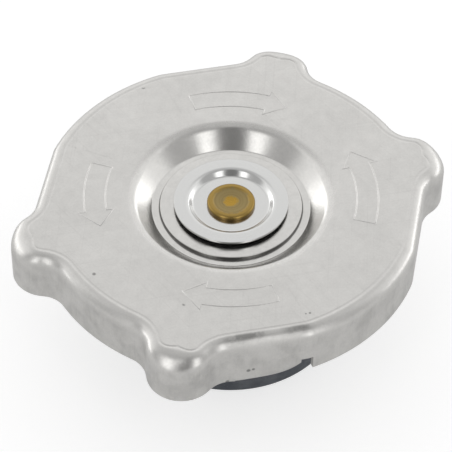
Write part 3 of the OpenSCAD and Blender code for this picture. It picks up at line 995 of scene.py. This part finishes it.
class CAP_OT_shell(bpy.types.Operator):
    """Press the lobed shell with its well, lugs and notches"""
    bl_idname = "cap.shell"
    bl_label = "Shell"

    def execute(self, context):
        sc = context.scene
        s, w, g = sc.cap_shell, sc.cap_well, sc.cap_lug
        section = well_section(s, w)
        plan, lug_start, lug_end = full_plan(s, g)
        columns = [shell_column(p, s, g, section, lug_start, lug_end) for p in plan]
        outer = [[pair[0] for pair in column] for column in columns]
        inner = [[pair[1] for pair in column] for column in columns]
        foot = len(outer[0]) - 1 - FOOT_ROWS

        def in_notch(row, column):
            run = plan[column].run
            if row < foot or run is None:
                return False
            return lug_end - SLIVER < run < lug_end + g.notch_w - SLIVER

        shell = make_piece("shell_pressing", sheet_solid(outer, inner, in_notch),
                           plated_sheet(sc.cap_finish, s, w), "cover", ["shell"])
        soften(shell, 0.1 * MM, math.radians(70))
        return {"FINISHED"}


# Tail and neck of each arrow, in degrees round the cap
ARROWS = ((61, 28), (117, 144), (242, 212.5), (299, 332))
# Section of a pressed line: across in line widths, up in line heights
RIDGE = ((-0.5, -0.6), (-0.28, 0.75), (0, 1), (0.28, 0.75), (0.5, -0.6))


def arrow(m, tail, neck):
    """Closed outline of one arrow: shaft out, head, shaft back."""
    low = m.band_r - m.band_w / 2
    high = m.band_r + m.band_w / 2
    barb = m.head_w / 2
    tip = neck + math.copysign(m.head_turn, neck - tail)
    steps = 18
    out = [polar(high, lerp(tail, neck, k / steps)) for k in range(steps + 1)]
    head = [polar(m.band_r + barb, neck), polar(m.band_r, tip), polar(m.band_r - barb, neck)]
    back = [polar(low, lerp(neck, tail, k / steps)) for k in range(steps + 1)]
    return out + head + back


def ridge(outline, m):
    """A low rounded ridge along a closed outline, mitred at its corners."""
    points = []
    count = len(outline)
    for i, p in enumerate(outline):
        u = (p - outline[i - 1]).normalized()
        v = (outline[(i + 1) % count] - p).normalized()
        n = Vector((-u.y - v.y, u.x + v.x)).normalized()
        n = n / max(0.5, n.dot(Vector((-u.y, u.x))))
        for across, up in RIDGE:
            points.append(Vector((*(p + n * (across * m.line_w)), TOP + up * m.line_h)))
    sides = len(RIDGE)
    faces = []
    for i in range(count):
        j = (i + 1) % count
        for k in range(sides):
            q = (k + 1) % sides
            faces.append((i * sides + k, j * sides + k, j * sides + q, i * sides + q))
    return points, faces


class CAP_OT_marks(bpy.types.Operator):
    """Press four curved arrow outlines into the top face"""
    bl_idname = "cap.marks"
    bl_label = "Arrow marks"

    def execute(self, context):
        m = context.scene.cap_marks
        finish = bpy.data.materials["plated_sheet"]
        points = []
        faces = []
        for tail, neck in ARROWS:
            outline = arrow(m, math.radians(tail), math.radians(neck))
            shift = len(points)
            more, sides = ridge(outline, m)
            points.extend(more)
            faces.extend(tuple(shift + k for k in face) for face in sides)
        make_piece("arrow_marks", (points, faces), finish, "cover",
                   crease=math.radians(60))
        return {"FINISHED"}


def add_washer(x, f):
    low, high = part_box("top_washer")
    t, dip = x.washer_t, math.radians(45)
    slope, run = straight_between(2 * x.washer_bend + t, dip, x.dish_deep)
    spots = walk((x.shank_r, low.z), [
        (x.dish_r - x.shank_r,),
        (dip, x.washer_bend),
        (slope,),
        (-dip, x.washer_bend),
        (high.x - x.dish_r - run,)], t)
    washer = make_piece("washer_dished", round_sheet(spots, t, ROUND), bright_washer(f),
                        "carrier", ["top_washer"])
    soften(washer, 0.09 * MM)


def add_rivet(x, f):
    low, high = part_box("rivet")
    seat = high.z - x.rivet_h
    tail_r = 4.3 * MM
    tail_z = low.z + 1.2 * MM
    bowl_at = 0.94
    bowl_z = high.z - 0.08 * MM
    profile = rounded([
        (0, low.z, 0),
        (tail_r, low.z, 0.45 * MM),
        (tail_r, tail_z, 0.1 * MM),
        (x.shank_r, tail_z, 0),
        (x.shank_r, seat, 0),
        (x.rivet_r, seat, 0.08 * MM),
        (x.rivet_r, high.z, 0.5 * MM),
        (x.bowl_r, high.z, 0.12 * MM),
        (bowl_at * x.bowl_r, bowl_z, 0.1 * MM)])
    steps = 10
    for k in range(1, steps + 1):
        part = bowl_at * (1 - k / steps)
        profile.append((part * x.bowl_r, bowl_z - x.bowl_deep * (bowl_at ** 2 - part ** 2)))
    make_piece("rivet_headed", lathe(profile, SMALL_ROUND), rivet_brass(f, high.z), "carrier",
               ["rivet"])


class CAP_OT_fixing(bpy.types.Operator):
    """Make the dished washer and the brass rivet"""
    bl_idname = "cap.fixing"
    bl_label = "Washer and rivet"

    def execute(self, context):
        sc = context.scene
        add_washer(sc.cap_fixing, sc.cap_finish)
        add_rivet(sc.cap_fixing, sc.cap_finish)
        return {"FINISHED"}


def add_disc(v, f):
    low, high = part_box("spring_disc")
    t, tilt, bend = v.disc_t, math.radians(14), 2 * MM
    slope, run = straight_between(2 * bend + t, tilt, high.z - low.z - t)
    hole = 8.3 * MM
    rim_w = 5 * MM
    spots = walk((hole, low.z), [
        (high.x - rim_w - run - hole,),
        (tilt, bend),
        (slope,),
        (-tilt, bend),
        (rim_w,)], t)
    finish = drawn_steel(f, "disc_steel", 1.0, 0.3)
    disc = make_piece("spring_disc_dished", round_sheet(spots, t, ROUND), finish, "carrier",
                      ["spring_disc"])
    soften(disc, 0.08 * MM)


def add_gasket(f):
    low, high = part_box("rim_gasket")
    inner = high.x - 4.4 * MM
    corner = 0.25 * MM
    profile = rounded([
        (inner, low.z, corner),
        (high.x, low.z, corner),
        (high.x, high.z, corner),
        (inner, high.z, corner)])
    make_piece("rim_gasket_ring", lathe(profile, ROUND), moulded_rubber(f, "gasket_rubber", 0.3),
               "carrier", ["rim_gasket"])


def add_bell(v, f, x):
    low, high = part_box("bell_housing")
    disc_low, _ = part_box("spring_disc")
    t, neck_bend, crown, lip_bend = v.bell_t, 0.6 * MM, 1 * MM, 0.6 * MM
    neck_r = x.dish_r - 0.3 * MM
    inside = high.x - t
    wall_top = disc_low.z - t - crown
    lip_z = low.z + t
    window_z = (lip_z + disc_low.z - t) / 2
    window_top = window_z + v.window_h / 2
    window_foot = window_z - v.window_h / 2
    spots = walk((x.shank_r, high.z - t), [
        (neck_r - neck_bend - x.shank_r,),
        (-QUARTER, neck_bend),
        (high.z - disc_low.z - 2 * neck_bend - t,),
        (QUARTER, neck_bend),
        (inside - crown - neck_r - neck_bend - t,),
        (-QUARTER, crown),
        (wall_top - window_top,),
        (v.window_h,),
        (window_foot - lip_z - lip_bend,),
        (-QUARTER, lip_bend),
        (v.lip_w - lip_bend,)], t)
    half = math.asin(v.window_w / 2 / high.x)

    def in_window(row, column):
        middle = (spots[row].z + spots[row + 1].z) / 2
        if spots[row].r < inside or not window_foot < middle < window_top:
            return False
        a = TAU * (column + 0.5) / BELL_ROUND
        return abs((a + QUARTER / 2) % QUARTER - QUARTER / 2) < half

    bell = make_piece("bell_drawn", round_sheet(spots, t, BELL_ROUND, in_window),
                      drawn_steel(f, "bell_steel", 1.05, 0.32), "carrier",
                      ["bell_housing"])
    soften(bell, 0.1 * MM)


class CAP_OT_carrier(bpy.types.Operator):
    """Make the spring disc, the rim gasket and the windowed bell"""
    bl_idname = "cap.carrier"
    bl_label = "Disc, gasket and bell"

    def execute(self, context):
        sc = context.scene
        v, f = sc.cap_valve, sc.cap_finish
        add_disc(v, f)
        add_gasket(f)
        add_bell(v, f, sc.cap_fixing)
        return {"FINISHED"}


def dress(node, finish):
    """Gives a CAD solid that is shown as it is its finish."""
    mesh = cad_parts[node].data
    mesh.materials.clear()
    mesh.materials.append(finish)


def add_seal(f):
    low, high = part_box("pressure_seal")
    plate_low, plate_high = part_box("seal_plate")
    inner = 8.6 * MM
    recess_r = 11 * MM
    recess_z = 1.3 * MM
    lip_r = 16.6 * MM
    corner = 0.7 * MM
    small = 0.15 * MM
    profile = rounded([
        (inner, recess_z, small),
        (recess_r, recess_z, small),
        (recess_r, low.z, small),
        (high.x, low.z, corner),
        (high.x, high.z, corner),
        (lip_r, high.z, small),
        (lip_r, plate_high.z, small),
        (plate_high.x, plate_high.z, 0),
        (plate_high.x, plate_low.z, 0),
        (inner, plate_low.z, small)])
    finish = moulded_rubber(f, "seal_rubber", 0.45)
    make_piece("pressure_seal_ring", lathe(profile, SEAL_ROUND), finish, "pressure_valve",
               ["pressure_seal"])


def add_vacuum_valve(f):
    low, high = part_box("vacuum_valve")
    keeper_low, keeper_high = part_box("spring_keeper")
    disc_top = low.z + 0.8 * MM
    stem, pin, head = 2 * MM, 1.5 * MM, 2.1 * MM
    dent = 0.3 * MM
    dent_r = 2.4 * MM
    small = 0.15 * MM
    profile = rounded([
        (0, low.z + dent, 0),
        (dent_r, low.z + dent, small),
        (dent_r + dent, low.z, small),
        (high.x, low.z, 0.2 * MM),
        (high.x, disc_top, 0.1 * MM),
        (stem, disc_top, small),
        (stem, keeper_low.z, 0.05 * MM),
        (pin, keeper_low.z, 0),
        (pin, keeper_high.z, 0),
        (head, keeper_high.z, 0.1 * MM),
        (head, high.z, 0.35 * MM),
        (0, high.z, 0)])
    make_piece("vacuum_valve_turned", lathe(profile, SMALL_ROUND), valve_brass(f),
               "vacuum_poppet", ["vacuum_valve"])


class CAP_OT_valves(bpy.types.Operator):
    """Make the valve cup, the seal and its plate, and the vacuum valve with its keeper"""
    bl_idname = "cap.valves"
    bl_label = "Valves and seal"

    def execute(self, context):
        f = context.scene.cap_finish
        sheet = drawn_steel(f, "valve_steel", 1.0, 0.34)
        for node in ("valve_cup", "seal_plate"):
            dress(node, sheet)
        dress("spring_keeper", drawn_steel(f, "keeper_steel", 0.9, 0.36))
        add_seal(f)
        add_vacuum_valve(f)
        return {"FINISHED"}


def add_spring(node, winding, finish, body, travel):
    """Winding is the wire thickness, the turns, the steps in a turn and the sides of the wire."""
    wire, turns, steps, sides = winding
    low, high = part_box(node)
    height = high.z - low.z
    shape = coil(high.x - wire / 2, wire, low.z, height, turns, steps, sides)
    spring = make_piece(node + "_wound", shape, finish, body, [node])
    (height - travel) / height
    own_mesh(spring)


class CAP_OT_springs(bpy.types.Operator):
    """Wind the pressure spring and the vacuum spring"""
    bl_idname = "cap.springs"
    bl_label = "Springs"

    def execute(self, context):
        sc = context.scene
        v = sc.cap_valve
        finish = spring_wire(sc.cap_finish)
        add_spring("pressure_spring", (v.coil_d, 5, 72, 16), finish, "carrier",
                        v.lift)
        add_spring("vacuum_spring", (v.vac_wire, 4, 60, 12), finish, "pressure_valve",
                        v.vac_open)
        return {"FINISHED"}


OPERATORS = (CAP_OT_stage, CAP_OT_shell, CAP_OT_marks, CAP_OT_fixing, CAP_OT_carrier,
             CAP_OT_valves, CAP_OT_springs)


class CAP_PT_panel(bpy.types.Panel):
    """Lists the steps and the sizes of the cap"""
    bl_idname = "CAP_PT_panel"
    bl_label = "Pressure Cap"
    bl_space_type = "VIEW_3D"
    bl_region_type = "UI"
    bl_category = "Pressure Cap"

    def draw(self, context):
        for step in OPERATORS:
            self.layout.operator(step.bl_idname)
        for group in GROUPS:
            settings = getattr(context.scene, group)
            box = self.layout.box()
            box.label(text=type(settings).__doc__)
            for name in type(settings).__annotations__:
                box.prop(settings, name)


def register():
    for group, kind in GROUPS.items():
        bpy.utils.register_class(kind)
        setattr(bpy.types.Scene, group, PointerProperty(type=kind))
    for kind in (*OPERATORS, CAP_PT_panel):
        bpy.utils.register_class(kind)


def unregister():
    for kind in reversed((*OPERATORS, CAP_PT_panel)):
        bpy.utils.unregister_class(kind)
    for group, kind in reversed(GROUPS.items()):
        delattr(bpy.types.Scene, group)
        bpy.utils.unregister_class(kind)


def main():
    register()
    bpy.ops.cap.stage()
    bpy.ops.cap.shell()
    bpy.ops.cap.marks()
    bpy.ops.cap.fixing()
    bpy.ops.cap.carrier()
    bpy.ops.cap.valves()
    bpy.ops.cap.springs()


if __name__ == "__main__":
    main()
